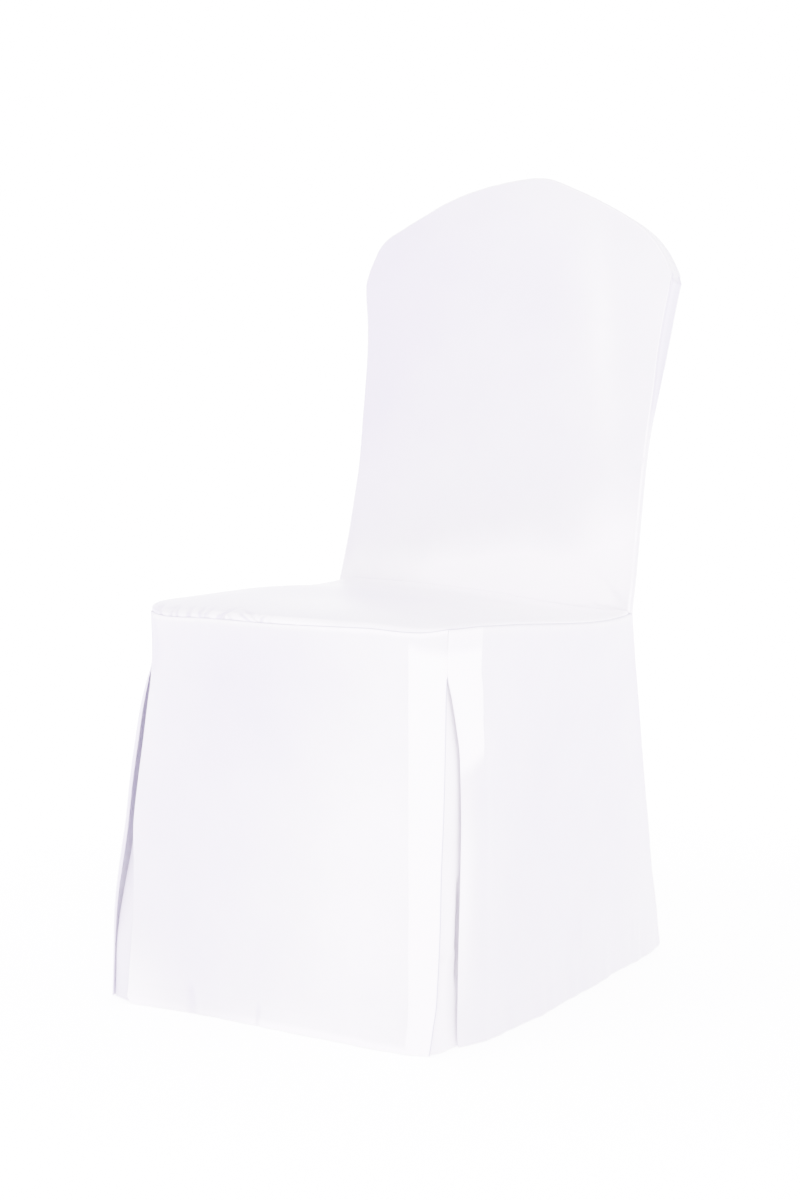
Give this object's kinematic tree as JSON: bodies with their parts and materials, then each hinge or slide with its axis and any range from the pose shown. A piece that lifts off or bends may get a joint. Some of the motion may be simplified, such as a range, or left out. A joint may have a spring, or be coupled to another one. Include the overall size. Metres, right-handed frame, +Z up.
{
  "type": "chair cover",
  "caption": "White satin fitted dining chair cover with a crown-top back, boxed edge, floor-length skirt and corner pleats.",
  "frame": {"origin": "on the floor, under the middle of the cover's bounding box", "axes": "+Z up, from the hem to the top of the back; -Y is the front, where the seat faces; +X is the side to the right when the front is looked at. The mount chair_top is inside the crown, where the top of the chair's back carries the cover; seat_rest is the flat middle of the seat panel's underside."},
  "size_m": [0.4805, 0.631, 0.9779],
  "materials": {
    "white_satin": "soft satin sheen"
  },
  "bodies": {
    "root": {"seat_panel": "white_satin", "inside_back_panel": "white_satin", "back_gusset": "white_satin", "outside_back_panel": "white_satin", "front_skirt": "white_satin", "right_skirt": "white_satin", "left_skirt": "white_satin", "right_pleat_underlay": "white_satin", "left_pleat_underlay": "white_satin"}
  },
  "joints": []
}
